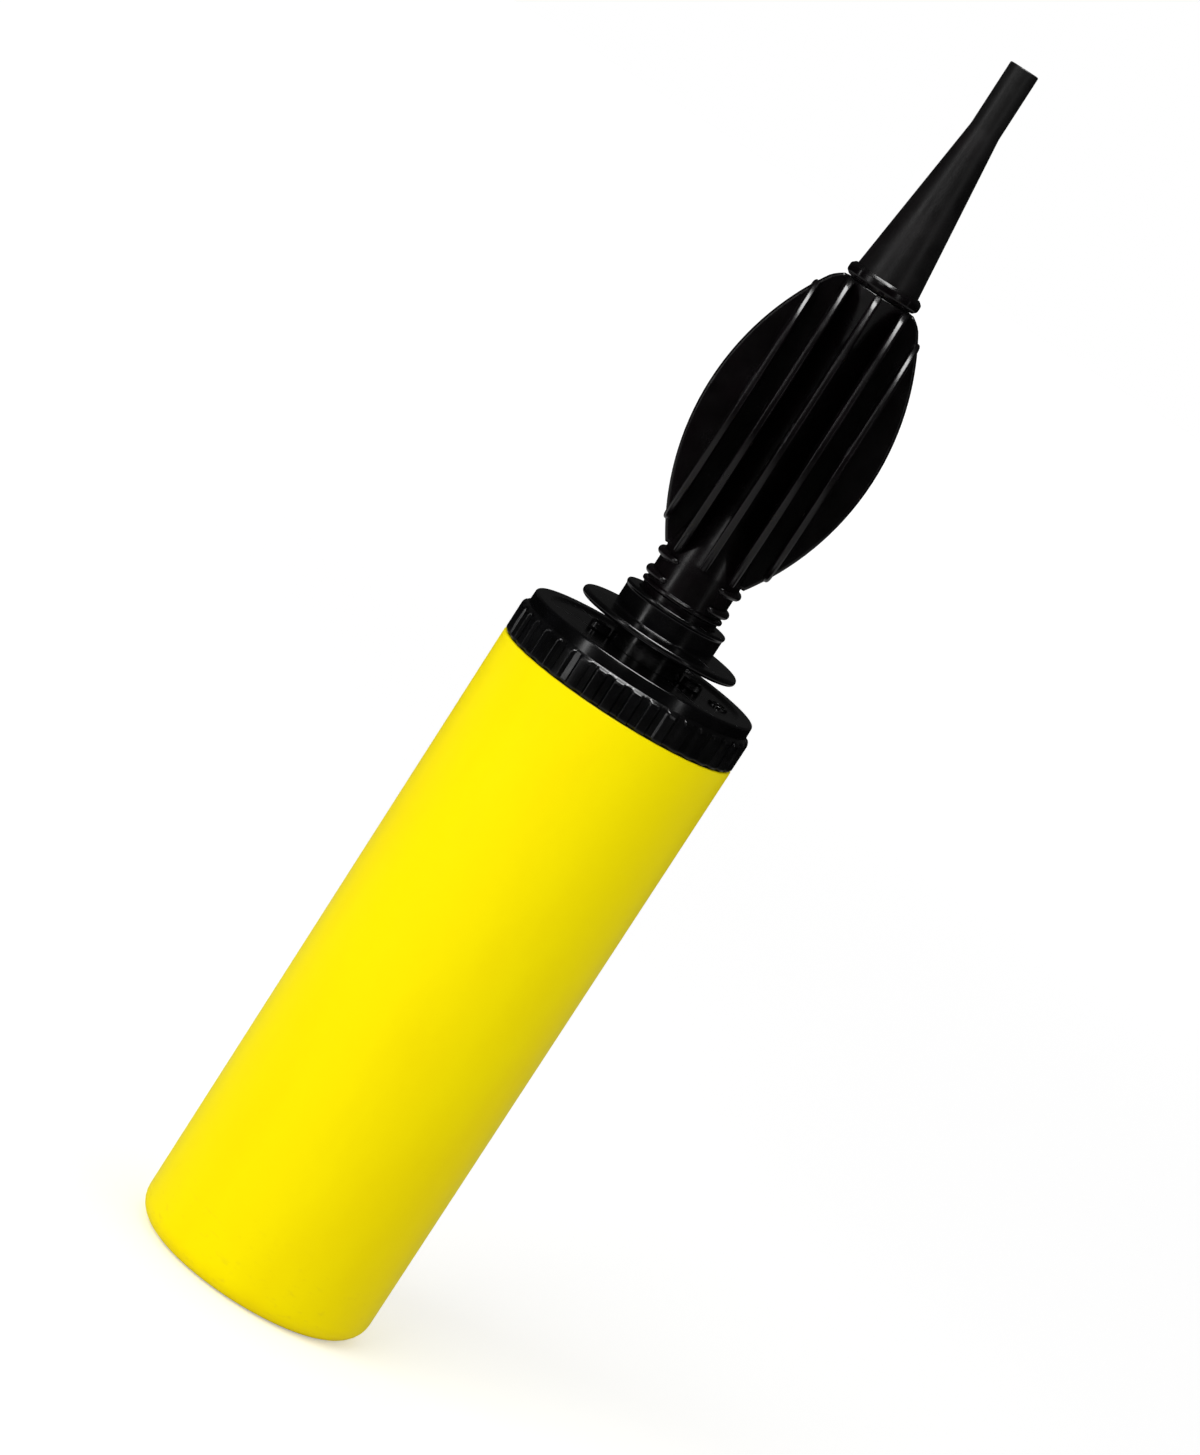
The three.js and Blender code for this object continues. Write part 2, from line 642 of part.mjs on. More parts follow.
function nozzle() {
  return turned([
    [NOZZLE_FOOT_BORE, NOZZLE_SPIGOT_LOW],
    [NOZZLE_SPIGOT_RADIUS - 0.4, NOZZLE_SPIGOT_LOW],
    [NOZZLE_SPIGOT_RADIUS, NOZZLE_SPIGOT_LOW + 0.8],
    [NOZZLE_SPIGOT_RADIUS, NOZZLE_FOOT],
    [NOZZLE_FOOT_RADIUS, NOZZLE_FOOT],
    [NOZZLE_FOOT_RADIUS, NOZZLE_CONE_LOW],
    [NOZZLE_TIP_RADIUS, NOZZLE_CONE_TOP],
    [NOZZLE_TIP_RADIUS, TOTAL_HEIGHT],
    [NOZZLE_TIP_BORE, TOTAL_HEIGHT],
    [NOZZLE_TIP_BORE, NOZZLE_CONE_TOP],
    [NOZZLE_CONE_BORE, NOZZLE_CONE_LOW + 1.5],
    [NOZZLE_FOOT_BORE, NOZZLE_FOOT - 1],
  ]);
}

// ---- materials and assembly ----------------------------------------------------------

function plastic(name, color, roughness) {
  return new THREE.MeshStandardMaterial({ name, color, roughness, metalness: 0 });
}

const yellow = plastic("barrel_yellow", 0xffec00, 0.35);
const capBlack = plastic("cap_black", 0x17171a, 0.32);
const gripBlack = plastic("grip_black", 0x0f0d10, 0.3);
const nozzleBlack = plastic("nozzle_black", 0x141114, 0.45);
const natural = plastic("natural_plastic", 0xd9d6cc, 0.5);
const rubber = plastic("black_rubber", 0x1b1b1b, 0.8);
const softFlap = plastic("soft_flap", 0x8f9296, 0.7);

const pump = new THREE.Group();

function add(group, name, geometry, material) {
  const mesh = new THREE.Mesh(geometry, material);
  mesh.name = name;
  group.add(mesh);
}

const barrelGroup = new THREE.Group();
add(barrelGroup, "barrel", barrel(), yellow);
add(barrelGroup, "base_valve_cage", baseValveCage(), natural);
add(barrelGroup, "base_valve_disc", baseValveDisc(), softFlap);
add(barrelGroup, "cap", cap(), capBlack);
add(barrelGroup, "cap_gasket", capGasket(), rubber);
add(barrelGroup, "cap_valve_ring", capValveRing(), softFlap);
add(barrelGroup, "gland", gland(), natural);
add(barrelGroup, "rod_bush", rodBush(), natural);
add(barrelGroup, "rod_seal", rodSeal(), rubber);
add(barrelGroup, "stroke_buffer", strokeBuffer(), rubber);

const plungerGroup = new THREE.Group();
add(plungerGroup, "piston_seal", pistonSeal(), rubber);
add(plungerGroup, "piston_base", pistonBase(), natural);
add(plungerGroup, "lower_delivery_disc", lowerDeliveryDisc(), softFlap);
add(plungerGroup, "piston_divider", pistonDivider(), natural);
add(plungerGroup, "upper_delivery_ring", upperDeliveryRing(), softFlap);
add(plungerGroup, "piston_body", pistonBody(), natural);
add(plungerGroup, "tube_seal", tubeSeal(), rubber);
add(plungerGroup, "plunger_tube", plungerTube(), capBlack);
add(plungerGroup, "plunger_head", plungerHead(), capBlack);
add(plungerGroup, "head_seal", headSeal(), rubber);
add(plungerGroup, "grip", grip(), gripBlack);
add(plungerGroup, "nozzle_seal", nozzleSeal(), rubber);
add(plungerGroup, "nozzle_ring", nozzleRing(), gripBlack);
add(plungerGroup, "nozzle", nozzle(), nozzleBlack);

pump.add(barrelGroup, plungerGroup);

export default pump;
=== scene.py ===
"""The looks of the ball inflation pump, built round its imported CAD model.

Shapes are worked out in millimetres along the pump's axis, which is Z, and turned into
metres as each mesh is made. An outline is a list of (radius, height, fillet) corners.
"""
import json
import math

import bmesh
import bpy
from mathutils import Matrix, Vector

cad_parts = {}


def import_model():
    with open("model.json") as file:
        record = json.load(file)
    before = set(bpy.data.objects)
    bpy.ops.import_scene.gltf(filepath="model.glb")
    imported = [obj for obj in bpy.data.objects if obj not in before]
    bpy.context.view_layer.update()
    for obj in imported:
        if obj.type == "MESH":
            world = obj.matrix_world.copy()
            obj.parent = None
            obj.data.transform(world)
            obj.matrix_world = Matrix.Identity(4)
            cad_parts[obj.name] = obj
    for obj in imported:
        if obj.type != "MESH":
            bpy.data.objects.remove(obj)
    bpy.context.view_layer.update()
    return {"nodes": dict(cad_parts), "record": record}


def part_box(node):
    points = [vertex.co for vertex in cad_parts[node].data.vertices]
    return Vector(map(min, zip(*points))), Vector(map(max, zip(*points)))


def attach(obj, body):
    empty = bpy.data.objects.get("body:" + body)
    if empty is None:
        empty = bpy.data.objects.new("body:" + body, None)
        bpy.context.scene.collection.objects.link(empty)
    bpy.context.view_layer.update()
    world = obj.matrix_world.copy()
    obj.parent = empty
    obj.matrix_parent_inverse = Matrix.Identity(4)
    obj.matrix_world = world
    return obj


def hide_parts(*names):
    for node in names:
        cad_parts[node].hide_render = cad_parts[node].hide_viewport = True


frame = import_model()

MM = 0.001
FACETS = 160  # round a large turned piece
FACETS_SMALL = 96
LONGEST_STEP = 6  # along a turned piece's outline
SHARP_ANGLE = 35  # degrees; a fold sharper than this stays an edge
THREAD_HEIGHTS = (128.8, 131.8)
THREAD_DEPTH = 0.5


# ---- sizes from the frame ---------------------------------------------------------

def low_of(node):
    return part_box(node)[0].z / MM


def top_of(node):
    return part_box(node)[1].z / MM


def radius_of(node):
    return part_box(node)[1].x / MM


# ---- paths and meshes --------------------------------------------------------------

def rounded(corners, closed=True, steps=5):
    """A path through (radius, height, fillet) corners, with each corner rounded."""
    path = []
    count = len(corners)
    for index, (radius, height, fillet) in enumerate(corners):
        here = Vector((radius, height))
        at_end = not closed and index in (0, count - 1)
        if at_end or fillet == 0:
            path.append(tuple(here))
            continue
        before = Vector(corners[index - 1][:2]) - here
        after = Vector(corners[(index + 1) % count][:2]) - here
        half = before.angle(after) / 2
        reach = min(fillet / math.tan(half), before.length * 0.49, after.length * 0.49)
        size = reach * math.tan(half)
        inwards = (before.normalized() + after.normalized()).normalized()
        centre = here + inwards * (size / math.sin(half))
        start = here + before.normalized() * reach - centre
        end = here + after.normalized() * reach - centre
        first = math.atan2(start.y, start.x)
        turn = math.atan2(start.x * end.y - start.y * end.x, start.dot(end))
        for step in range(steps + 1):
            angle = first + turn * step / steps
            path.append((centre.x + size * math.cos(angle), centre.y + size * math.sin(angle)))
    return path


def piece_from(name, vertices, faces):
    """A mesh object from millimetre points, with its normals out and its edges smooth."""
    mesh = bpy.data.meshes.new(name)
    mesh.from_pydata([Vector(v) * MM for v in vertices], [], faces)
    clean = bmesh.new()
    clean.from_mesh(mesh)
    bmesh.ops.recalc_face_normals(clean, faces=clean.faces)
    clean.to_mesh(mesh)
    clean.free()
    piece = bpy.data.objects.new(name, mesh)
    bpy.context.scene.collection.objects.link(piece)
    soften(piece)
    return piece


def soften(piece):
    """Smooths the edges. The weighting keeps flat faces flat beside rounded edges."""
    piece.data.shade_smooth()
    piece.data.set_sharp_from_angle(angle=math.radians(SHARP_ANGLE))
    weighting = piece.modifiers.new("flat_faces", "WEIGHTED_NORMAL")
    weighting.keep_sharp = True


def turned(name, path, facets=FACETS, radius_at=None, centre=0):
    """A path of (radius, height) points turned about an upright line at x = centre. A
    path that starts on the line ends on it too, and any other is closed on itself.
    radius_at bends the round."""
    solid = path[0][0] == 0
    vertices = []
    rows = []
    for radius, height in path:
        if radius == 0:
            rows.append([len(vertices)])
            vertices.append((centre, 0, height))
            continue
        rows.append(range(len(vertices), len(vertices) + facets))
        for facet in range(facets):
            angle = 2 * math.pi * facet / facets
            reach = radius_at(radius, height, angle) if radius_at else radius
            vertices.append((centre + reach * math.cos(angle), reach * math.sin(angle), height))
    pairs = list(zip(rows, rows[1:]))
    if not solid:
        pairs.append((rows[-1], rows[0]))
    faces = []
    for lower, upper in pairs:
        for facet in range(facets):
            beside = (facet + 1) % facets
            corners = [lower[facet % len(lower)], lower[beside % len(lower)],
                       upper[beside % len(upper)], upper[facet % len(upper)]]
            faces.append(list(dict.fromkeys(corners)))
    return piece_from(name, vertices, faces)


def combine(piece, others, operation):
    """Joins or cuts with the others, and takes them out of the scene."""
    piece.modifiers.clear()
    for other in others:
        other.modifiers.clear()
        change = piece.modifiers.new(operation, "BOOLEAN")
        change.operation = operation
        change.solver = "EXACT"
        change.object = other
        graph = bpy.context.evaluated_depsgraph_get()
        made = bpy.data.meshes.new_from_object(piece.evaluated_get(graph))
        piece.modifiers.clear()
        piece.data = made
        bpy.data.objects.remove(other)
    soften(piece)
    return piece


def layered(name, layers):
    """A closed solid through equal loops of points, with a flat face at each end."""
    count = len(layers[0])
    vertices = [point for layer in layers for point in layer]
    faces = [list(range(count)), list(range(len(vertices) - count, len(vertices)))]
    for index in range(len(layers) - 1):
        for place in range(count):
            beside = (place + 1) % count
            low = index * count
            faces.append([low + place, low + beside, low + count + beside, low + count + place])
    return piece_from(name, vertices, faces)


def oval_loop(length, width, height, centre, steps=10):
    """A slot-shaped loop, with its long side along X."""
    reach = (length - width) / 2
    loop = []
    for end in (1, -1):
        for step in range(steps + 1):
            angle = math.pi * (step / steps - 0.5 + (end == -1))
            loop.append((centre + end * reach + width / 2 * math.cos(angle),
                         width / 2 * math.sin(angle), height))
    return loop


def block(name, xs, ys, zs):
    """A cutting tool with flat sides."""
    layers = []
    for z in zs:
        layers.append([(xs[0], ys[0], z), (xs[1], ys[0], z), (xs[1], ys[1], z), (xs[0], ys[1], z)])
    return layered(name, layers)


def thread(wall, half_width):
    """The screw thread as level rings on a wall, going up, as in the CAD model."""
    path = []
    for height in THREAD_HEIGHTS:
        path += [(wall, height - half_width, 0), (wall + THREAD_DEPTH, height, 0.15),
                 (wall, height + half_width, 0)]
    return path


def place(piece, body, node, slot):
    """Gives a piece its body and its slot's material, and hides the CAD node that it stands for."""
    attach(piece, body)
    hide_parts(node)
    piece.data.materials.clear()
    piece.data.materials.append(MATERIALS[slot])


# ---- materials ------------------------------------------------------------------------

# Colours are linear. Noise counts blotches to a metre, and relief is in metres.
YELLOW = (1.0, 0.83, 0.0)
YELLOW_STREAK = (0.93, 0.71, 0.0)
YELLOW_SCUFF = (0.80, 0.60, 0.02)
YELLOW_SPECULAR = 0.03
SCUFF_HEIGHT = 0.02  # the scuffs fade out this far above the foot
CAP_BLACK = (0.0009, 0.0009, 0.0011)
GRIP_BLACK = (0.0012, 0.0005, 0.0009)
NOZZLE_BLACK = (0.0022, 0.0015, 0.0018)
NOZZLE_TIP_BLACK = (0.006, 0.006, 0.006)
# a paler black for sharp edges: partly rubbed wear, partly a painted highlight
RUBBED_BLACK_AND_HIGHLIGHT = (0.05, 0.05, 0.052)
BLACK_SPECULAR = 0.5
MATT_SPECULAR = 0.4
ROUGH_TIP = (0.263, 0.268)  # the heights over which the nozzle's tip turns rough
EDGE_POINTINESS = (0.53, 0.62)  # from where an edge starts to be painted paler, as wear and as a painted highlight, to full
WORN_ROUGHNESS = 0.3  # added on the paler edges, both the worn and the painted-highlight ones


class Finish:
    """The nodes of one moulded material, in metres of the pump's own frame."""

    def __init__(self, name, colour, specular):
        self.material = bpy.data.materials.new(name)
        self.material.use_nodes = True
        self.tree = self.material.node_tree
        self.shader = self.tree.nodes["Principled BSDF"]
        self.shader.inputs["Specular IOR Level"].default_value = specular
        self.place = self.tree.nodes.new("ShaderNodeTexCoord").outputs["Object"]
        base = self.tree.nodes.new("ShaderNodeRGB")
        base.outputs[0].default_value = (*colour, 1)
        self.colour = base.outputs[0]
        self.roughness = None
        self.height = None

    def noise(self, per_metre, detail=3, stretch=(1, 1, 1)):
        """Noise from 0 to 1 with the given number of blotches to a metre."""
        mapping = self.tree.nodes.new("ShaderNodeMapping")
        mapping.inputs["Scale"].default_value = stretch
        self.tree.links.new(self.place, mapping.inputs["Vector"])
        node = self.tree.nodes.new("ShaderNodeTexNoise")
        node.inputs["Scale"].default_value = per_metre
        node.inputs["Detail"].default_value = detail
        self.tree.links.new(mapping.outputs["Vector"], node.inputs["Vector"])
        return node.outputs["Fac"]

    def height_of(self, axis):
        """The place along one axis, in metres."""
        node = self.tree.nodes.new("ShaderNodeSeparateXYZ")
        self.tree.links.new(self.place, node.inputs[0])
        return node.outputs[axis]

    def ramp(self, source, start, end, low=0.0, high=1.0):
        """The source's stretch from start to end, spread from low to high."""
        node = self.tree.nodes.new("ShaderNodeMapRange")
        node.inputs["From Min"].default_value = start
        node.inputs["From Max"].default_value = end
        node.inputs["To Min"].default_value = low
        node.inputs["To Max"].default_value = high
        self.tree.links.new(source, node.inputs["Value"])
        return node.outputs["Result"]

    def maths(self, operation, one, other):
        node = self.tree.nodes.new("ShaderNodeMath")
        node.operation = operation
        for socket, source in zip(node.inputs, (one, other)):
            if isinstance(source, (int, float)):
                socket.default_value = source
            else:
                self.tree.links.new(source, socket)
        return node.outputs[0]

    def tint(self, colour, share):
        """Mixes another colour in, by a share that varies over the surface."""
        node = self.tree.nodes.new("ShaderNodeMix")
        node.data_type = "RGBA"
        self.tree.links.new(share, node.inputs["Factor"])
        self.tree.links.new(self.colour, node.inputs["A"])
        node.inputs["B"].default_value = (*colour, 1)
        self.colour = node.outputs["Result"]

    def relief(self, source, depth):
        """Adds height, in metres."""
        step = self.maths("MULTIPLY", source, depth)
        self.height = step if self.height is None else self.maths("ADD", self.height, step)

    def worn_and_highlit_edges(self, colour, share):
        """Paler, duller plastic where the surface bends sharply outwards: partly rubbed wear, partly a
        painted highlight on rims, ribs and bosses.
        """
        pointed = self.tree.nodes.new("ShaderNodeNewGeometry").outputs["Pointiness"]
        edge = self.ramp(pointed, *EDGE_POINTINESS, low=0.0, high=share)
        edge_wear_and_highlight = self.maths("MULTIPLY", edge, self.ramp(self.noise(900), 0.35, 0.65))
        self.tint(colour, edge_wear_and_highlight)
        duller = self.maths("MULTIPLY", edge_wear_and_highlight, WORN_ROUGHNESS)
        self.roughness = self.maths("ADD", self.roughness, duller)

    def done(self):
        link = self.tree.links.new
        link(self.colour, self.shader.inputs["Base Color"])
        link(self.roughness, self.shader.inputs["Roughness"])
        bump = self.tree.nodes.new("ShaderNodeBump")
        bump.inputs["Distance"].default_value = 1.0
        link(self.height, bump.inputs["Height"])
        link(bump.outputs["Normal"], self.shader.inputs["Normal"])
        return self.material


def yellow_plastic():
    """Opaque plastic, weak in highlights, streaked along its length, scuffed at its foot."""
    finish = Finish("barrel_yellow", YELLOW, YELLOW_SPECULAR)
    streaks = finish.noise(38, detail=4, stretch=(1, 1, 0.35))
    finish.tint(YELLOW_STREAK, finish.ramp(streaks, 0.45, 0.75, low=0, high=0.55))
    scuffs = finish.ramp(finish.noise(420, detail=5, stretch=(1, 1, 2.5)), 0.6, 0.7)
    near_foot = finish.ramp(finish.height_of("Z"), SCUFF_HEIGHT, 0.0, low=0.0, high=0.3)
    finish.tint(YELLOW_SCUFF, finish.maths("MULTIPLY", scuffs, near_foot))
    finish.roughness = finish.ramp(finish.noise(160, detail=4), 0.3, 0.7, low=0.28, high=0.42)
    finish.relief(finish.noise(45, detail=2), depth=0.00006)
    finish.relief(finish.noise(1500, detail=2), depth=0.0000025)
    return finish.done()


def black_plastic(name, colour, low, high, grain, wear_and_highlight=0.2):
    """Moulded black plastic with soft flow marks, fine grain, and sharp edges painted paler, partly as
    rubbed wear and partly as a painted highlight. Its roughness runs from low to high. The caller may
    add to it before it is done."""
    finish = Finish(name, colour, BLACK_SPECULAR)
    lighter = tuple(3 * part + 0.0004 for part in colour)
    finish.tint(lighter, finish.ramp(finish.noise(120, detail=4), 0.45, 0.7, low=0, high=0.6))
    finish.roughness = finish.ramp(finish.noise(220, detail=4), 0.3, 0.7, low, high)
    # the sharp edges are tinted paler: partly rubbed wear, partly a painted highlight
    finish.worn_and_highlit_edges(RUBBED_BLACK_AND_HIGHLIGHT, wear_and_highlight)
    finish.relief(finish.noise(90, detail=2), depth=0.00004)
    finish.relief(finish.noise(2200, detail=2), depth=grain)
    return finish


def nozzle_plastic():
    """The nozzle's black plastic, with a rougher, paler tip."""
    finish = black_plastic("nozzle_black", NOZZLE_BLACK, low=0.36, high=0.48, grain=0.000004)
    tip = finish.ramp(finish.height_of("Z"), *ROUGH_TIP)
    finish.tint(NOZZLE_TIP_BLACK, finish.maths("MULTIPLY", tip, 0.7))
    finish.relief(finish.maths("MULTIPLY", finish.noise(1700, detail=3), tip), depth=0.00003)
    return finish


def matt_plastic(name, colour, low, high):
    """Plain matt plastic or rubber, with its roughness from low to high."""
    finish = Finish(name, colour, MATT_SPECULAR)
    darker = tuple(part * 0.86 for part in colour)
    finish.tint(darker, finish.ramp(finish.noise(90, detail=4), 0.4, 0.7, low=0, high=0.7))
    finish.roughness = finish.ramp(finish.noise(260, detail=3), 0.3, 0.7, low, high)
    finish.relief(finish.noise(1800, detail=2), depth=0.000004)
    return finish.done()


MATERIALS = {
    "barrel_yellow": yellow_plastic(),
    # the cap's edges get the strongest paler tint, mostly a painted highlight on its rims, ribs and
    # bosses
    "cap_black": black_plastic("cap_black", CAP_BLACK, 0.14, 0.23, 0.0000025, wear_and_highlight=0.55).done(),
    "grip_black": black_plastic("grip_black", GRIP_BLACK, 0.2, 0.28, 0.000003).done(),
    "nozzle_black": nozzle_plastic().done(),
    "natural_plastic": matt_plastic("natural_plastic", (0.72, 0.70, 0.63), 0.4, 0.55),
    "black_rubber": matt_plastic("black_rubber", (0.012, 0.012, 0.012), 0.65, 0.85),
    "soft_flap": matt_plastic("soft_flap", (0.28, 0.29, 0.30), 0.55, 0.7),
}


# ---- barrel ---------------------------------------------------------------------------

BARREL_DRAFT = 0.15  # taken off the radius at the foot
BARREL_WALL = 2.4
THREAD_WALL = 1.8
SEAT_WALL = 0.8  # round the gasket's seat in the mouth
SEAT_DEPTH = 1.6
THREAD_LOW = 125.4
BORE_TOP = 124.8
BASE_ROUNDING = 5.4
BASE_TOP = 3.2
BASE_HOLE = 4
RECESS_RADIUS = 15
RECESS_DEPTH = 1.2
FOOT_INNER = 16
CAGE_COLLAR = (9.6, 11.2)  # the collar that holds the base valve's cage
CAGE_COLLAR_TOP = 7.6
NOTCH_REACH = (13, 20.95)  # the air notches through the foot ring
NOTCH_HALF_WIDTH = 2
NOTCH_HEIGHTS = (-1, 0.8)


def barrel():
    top = top_of("barrel")
    radius = radius_of("barrel")
    foot = radius - BARREL_DRAFT
    bore = radius - BARREL_WALL
    seat = radius - SEAT_WALL
    threaded = radius - THREAD_WALL
    collar_inner, collar_outer = CAGE_COLLAR
    path = rounded([
        (BASE_HOLE, RECESS_DEPTH, 0.3),
        (RECESS_RADIUS, RECESS_DEPTH, 0.4),
        (FOOT_INNER, 0, 0.4),
        (foot, 0, BASE_ROUNDING),
        (radius, top, 0.45),
        (seat, top, 0.2),
        (seat, top - SEAT_DEPTH, 0),
        (threaded, top - SEAT_DEPTH, 0.1),
        *reversed(thread(threaded, 1)),
        (threaded, THREAD_LOW, 0.2),
        (bore, BORE_TOP, 0.2),
        (bore, BASE_TOP, 2),
        (collar_outer, BASE_TOP, 0.2),
        (collar_outer, CAGE_COLLAR_TOP, 0.3),
        (collar_inner, CAGE_COLLAR_TOP, 0.2),
        (collar_inner, BASE_TOP, 0.2),
        (BASE_HOLE, BASE_TOP, 0.2),
    ], steps=8)
    shell = turned("barrel_shell", refined(path, LONGEST_STEP))
    notches = []
    for side in (1, -1):
        reach = sorted(side * end for end in NOTCH_REACH)
        notches.append(block("air_notch", reach, (-NOTCH_HALF_WIDTH, NOTCH_HALF_WIDTH), NOTCH_HEIGHTS))
    combine(shell, notches, "DIFFERENCE")
    place(shell, "barrel", "barrel", "barrel_yellow")


def refined(path, longest):
    """The closed path with its long stretches cut up."""
    fine = []
    for start, end in zip(path, path[1:] + path[:1]):
        parts = max(1, math.ceil(math.dist(start, end) / longest))
        for part in range(parts):
            share = part / parts
            fine.append(tuple(here + (there - here) * share for here, there in zip(start, end)))
    return fine


# ---- cap ------------------------------------------------------------------------------

CAP_RIBS = 40
RIB_DEPTH = 0.6
RIB_SHARE = 0.72  # of the pitch, taken up by a rib with its flanks
RIB_FLANK = 0.3
RIB_FADE = 0.9  # the height over which a rib's top fades out
RIB_ROWS = (5.9, 5.2, 4.4, 3.4, 2.4, 1.6, 1.1, 0.8, 0.55, 0.3, 0.12, 0)  # below RIB_TOP
RIB_TOP = 143.3
BAND_MARGIN = 0.2  # points further in than this aren't on the band
CAP_BAND = radius_of("cap") - RIB_DEPTH
CAP_GAP = 0.3  # above the barrel's rim
CAP_TOP = 146.3
CAP_FACE = CAP_TOP - 0.5  # the sunk face inside the rim
CAP_PLATE_LOW = 143.1
CAP_HOLE = 8.4
CAP_LIP = 24.8
CAP_PLUG = 23.9
PLUG_BORE = 22
PLUG_LOW = 126
PLENUM_RADIUS = 20.5  # the air space under the cap's plate, over the gland
PLENUM_STEP = 140.7
INLET_PLACE = 10.4
BOSS_SIZE = (4.6, 3.6)
# How much wider a boss is than its size, on each side, at each height above the face.
BOSS_PROFILE = ((0.4, -0.6), (0.4, 0), (0.22, 0.05), (0.08, 0.16), (0, 0.35), (0, 1.2),
                (-0.05, 1.42), (-0.16, 1.6), (-0.33, 1.73), (-0.55, 1.8))
SLOT_LOW = 142
SLOT_SIZE = (2, 1.1)
# The slot's length and width near its mouth, and the heights above the face.
SLOT_MOUTH = ((2, 1.1, 1.45), (2.3, 1.4, 1.68), (3.1, 2.2, 1.9))
DIMPLE_PLACE = 16.9
DIMPLE_HOLE = 1.3
DIMPLE_RIM = 2.15
DIMPLE_FOOT = 2.25
DIMPLE_RISE = 0.5
DIMPLE_FACETS = 32
TUBE_ROOM = 8.38
TUBE_ROOM_HEIGHTS = (145, 150)


def cap_radius(radius, height, angle):
    """The round of the cap, with ribs standing out of its lower band."""
    if radius < CAP_BAND - BAND_MARGIN or height > RIB_TOP:
        return radius
    turn = (angle * CAP_RIBS / (2 * math.pi)) % 1
    off_middle = abs(turn - 0.5) * 2
    across = min(1, max(0, (RIB_SHARE - off_middle) / RIB_FLANK))
    rise = across * across * (3 - 2 * across)
    left = min(1, (RIB_TOP - height) / RIB_FADE)
    fade = math.sqrt(1 - (1 - left) ** 2)
    return radius + RIB_DEPTH * rise * fade


def inlet_boss(centre):
    """A raised oval with a small fillet at its foot and a rounded top."""
    length, width = BOSS_SIZE
    layers = []
    for growth, rise in BOSS_PROFILE:
        layers.append(oval_loop(length + 2 * growth, width + 2 * growth, CAP_FACE + rise, centre))
    return layered("inlet_boss", layers)


def inlet_slot(centre):
    """The slot through a boss, wider at its mouth."""
    layers = [oval_loop(*SLOT_SIZE, SLOT_LOW, centre)]
    for length, width, rise in SLOT_MOUTH:
        layers.append(oval_loop(length, width, CAP_FACE + rise, centre))
    return layered("inlet_slot", layers)


def dimple():
    """A small round dimple, as a ring raised out of the cap's face."""
    path = rounded([
        (DIMPLE_HOLE, CAP_FACE - DIMPLE_RISE, 0),
        (DIMPLE_FOOT, CAP_FACE - DIMPLE_RISE, 0),
        (DIMPLE_RIM, CAP_FACE + DIMPLE_RISE, 0.3),
        (DIMPLE_HOLE, CAP_FACE + DIMPLE_RISE, 0.3),
    ])
    return turned("dimple", path, DIMPLE_FACETS, centre=DIMPLE_PLACE)


def cap():
    low = top_of("barrel") + CAP_GAP
    band = [(CAP_BAND, RIB_TOP - drop) for drop in RIB_ROWS]
    rest = rounded([
        (CAP_BAND, RIB_TOP, 0),
        (24.9, RIB_TOP + 0.35, 0.3),
        (CAP_LIP, CAP_TOP, 0.5),
        (21.6, CAP_TOP, 0.2),
        (21.1, CAP_FACE, 0.2),
        (CAP_HOLE, CAP_FACE, 0.35),
        (CAP_HOLE, CAP_PLATE_LOW, 0.2),
        (PLENUM_RADIUS, CAP_PLATE_LOW, 0.5),
        (PLENUM_RADIUS, PLENUM_STEP, 0),
        (PLUG_BORE, PLENUM_STEP, 0.2),
        (PLUG_BORE, PLUG_LOW, 0.3),
        (CAP_PLUG, PLUG_LOW, 0.6),
        *thread(CAP_PLUG, 0.7),
        (CAP_PLUG, low, 0.1),
        (CAP_BAND - 0.1, low, 0.2),
        (CAP_BAND, low + 0.25, 0),
    ], closed=False, steps=6)
    body = turned("cap_body", band + rest[1:], FACETS * 5, cap_radius)
    bosses = [inlet_boss(side * INLET_PLACE) for side in (1, -1)]
    combine(body, [*bosses, dimple()], "UNION")
    # The bosses reach in past the hole's edge, where the plunger tube slides.
    bottom, top = TUBE_ROOM_HEIGHTS
    outline = [(0, bottom), (TUBE_ROOM, bottom), (TUBE_ROOM, top), (0, top)]
    room = turned("tube_room", outline, FACETS_SMALL)
    slots = [inlet_slot(side * INLET_PLACE) for side in (1, -1)]
    combine(body, [*slots, room], "DIFFERENCE")
    place(body, "barrel", "cap", "cap_black")


# ---- plunger ----------------------------------------------------------------------------

TUBE_WALL = 1.4
HEAD_BORE = 8.35
HEAD_SOCKET = 8.65  # the wider bore above, round the grip's neck
COLLAR_RADIUS = 10.9
COLLAR_LIP = 0.25
PARTING_HALF_WIDTH = 0.09
PARTING_HEIGHTS = (1.45, 3)  # above the flange's underside


def plunger_tube():
    low, high = low_of("plunger_tube"), top_of("plunger_tube")
    outer = radius_of("plunger_tube")
    inner = outer - TUBE_WALL
    path = rounded([(inner, low, 0.2), (outer, low, 0.3), (outer, high, 0.3), (inner, high, 0.2)])
    tube = turned("plunger_rod", refined(path, LONGEST_STEP), FACETS_SMALL)
    place(tube, "plunger", "plunger_tube", "cap_black")


